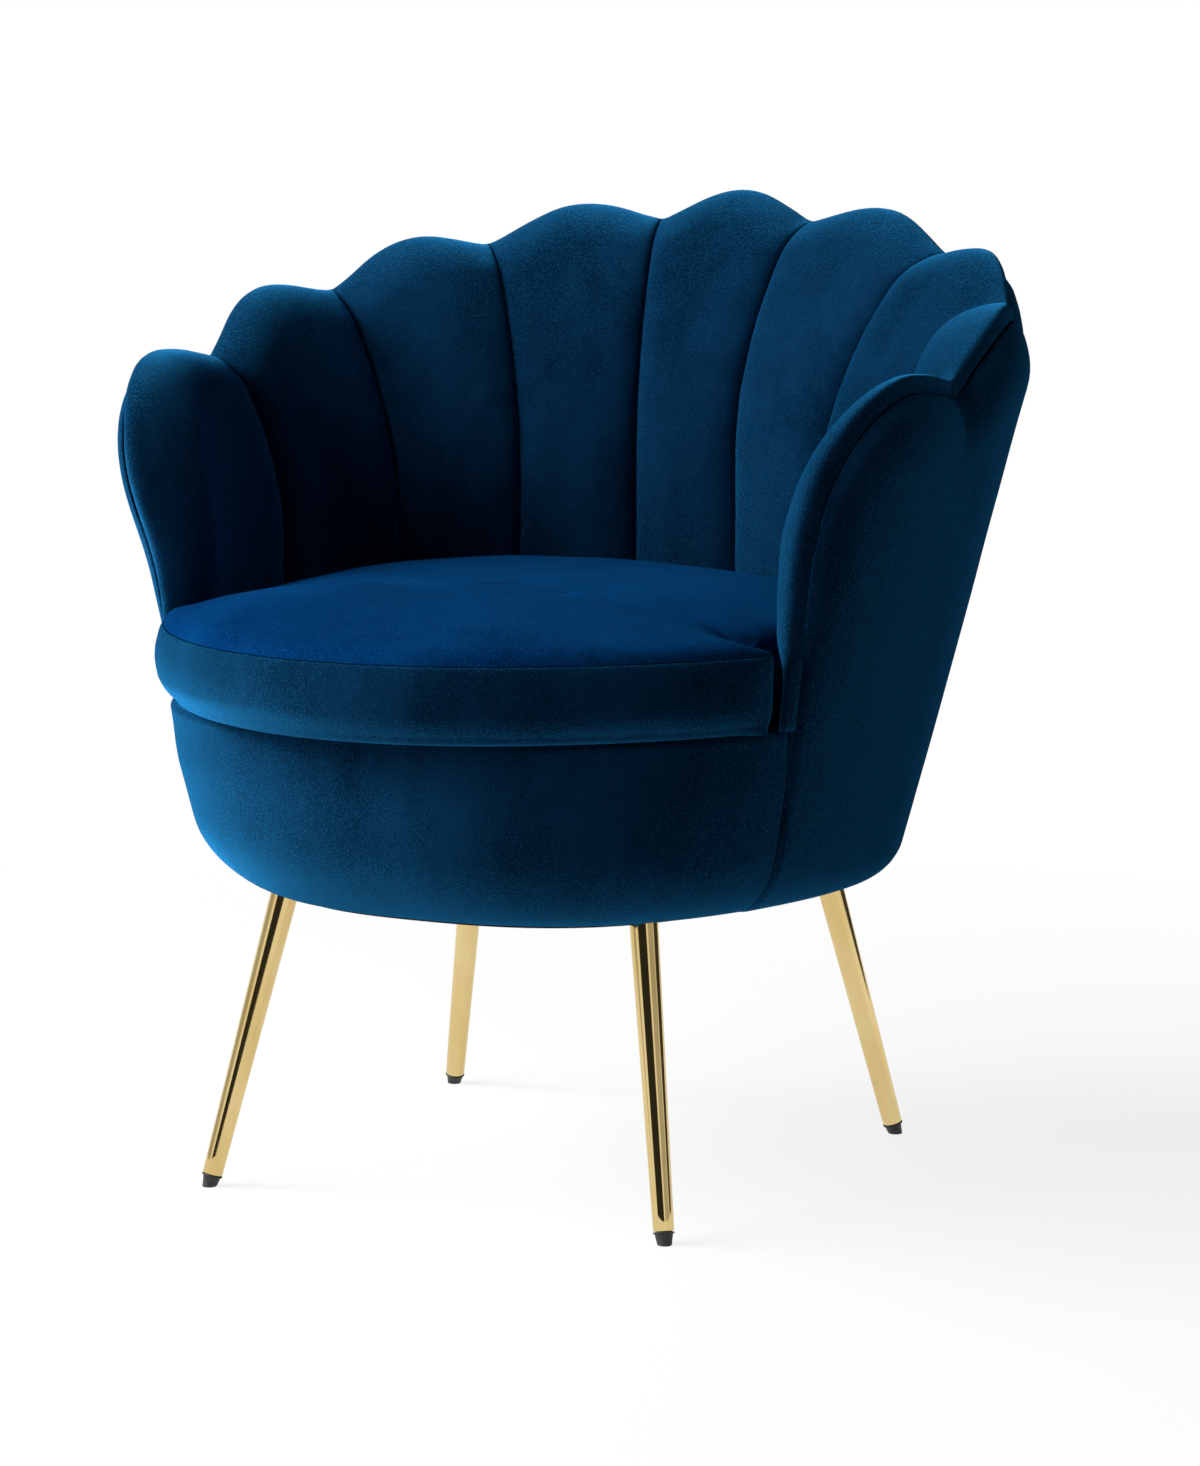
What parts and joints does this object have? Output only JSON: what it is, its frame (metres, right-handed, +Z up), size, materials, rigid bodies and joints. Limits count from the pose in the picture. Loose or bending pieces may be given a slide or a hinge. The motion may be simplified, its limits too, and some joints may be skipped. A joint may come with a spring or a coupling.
{
  "type": "scallop back chair",
  "caption": "Upholstered tub chair with a scalloped channel back that wraps into low arms, a loose seat cushion and splayed tapered metal legs.",
  "frame": {"origin": "on the floor, at the middle of the chair's bounding box", "axes": "+Z up, front towards -Y, +X to the right hand of someone facing the chair's front"},
  "size_m": [0.694, 0.7188, 0.757],
  "materials": {
    "blue_velvet": "deep blue velvet with a short nap",
    "bent_plywood": "bare plywood",
    "frame_timber": "bare timber",
    "elastic_webbing": "woven elastic",
    "black_cloth": "black non-woven cloth",
    "seat_foam": "cut foam",
    "gold_metal": "polished gold plating",
    "leg_steel": "plain zinc",
    "black_plastic": "moulded black"
  },
  "bodies": {
    "tub_and_legs": {"channel_pad_1": "blue_velvet", "channel_pad_2": "blue_velvet", "channel_pad_3": "blue_velvet", "channel_pad_4": "blue_velvet", "channel_pad_5": "blue_velvet", "channel_pad_6": "blue_velvet", "channel_pad_7": "blue_velvet", "channel_pad_8": "blue_velvet", "channel_pad_9": "blue_velvet", "back_slat_1": "bent_plywood", "back_slat_2": "bent_plywood", "back_slat_3": "bent_plywood", "back_slat_4": "bent_plywood", "back_slat_5": "bent_plywood", "back_slat_6": "bent_plywood", "back_slat_7": "bent_plywood", "back_slat_8": "bent_plywood", "back_slat_9": "bent_plywood", "outside_cover": "blue_velvet", "front_apron": "blue_velvet", "seat_board": "bent_plywood", "front_rail": "frame_timber", "rear_rail": "frame_timber", "right_rail": "frame_timber", "left_rail": "frame_timber", "cross_webbing_1": "elastic_webbing", "cross_webbing_2": "elastic_webbing", "cross_webbing_3": "elastic_webbing", "long_webbing_1": "elastic_webbing", "long_webbing_2": "elastic_webbing", "seat_deck": "black_cloth", "dust_cover": "black_cloth", "leg_front_left": "gold_metal", "leg_front_right": "gold_metal", "leg_rear_left": "gold_metal", "leg_rear_right": "gold_metal", "foot_cap_front_left": "black_plastic", "foot_cap_front_right": "black_plastic", "foot_cap_rear_left": "black_plastic", "foot_cap_rear_right": "black_plastic", "leg_plate_front_left": "leg_steel", "leg_plate_front_right": "leg_steel", "leg_plate_rear_left": "leg_steel", "leg_plate_rear_right": "leg_steel", "leg_screw_front_left_1": "leg_steel", "leg_screw_front_left_2": "leg_steel", "leg_screw_front_left_3": "leg_steel", "leg_screw_front_right_1": "leg_steel", "leg_screw_front_right_2": "leg_steel", "leg_screw_front_right_3": "leg_steel", "leg_screw_rear_left_1": "leg_steel", "leg_screw_rear_left_2": "leg_steel", "leg_screw_rear_left_3": "leg_steel", "leg_screw_rear_right_1": "leg_steel", "leg_screw_rear_right_2": "leg_steel", "leg_screw_rear_right_3": "leg_steel"},
    "seat_cushion": {"cushion_cover": "blue_velvet", "cushion_core": "seat_foam"}
  },
  "joints": [
    {"name": "cushion_lift", "type": "slide", "parent": "tub_and_legs", "child": "seat_cushion", "axis": [0, 0, 1], "range_m": [0, 0.3]}
  ]
}
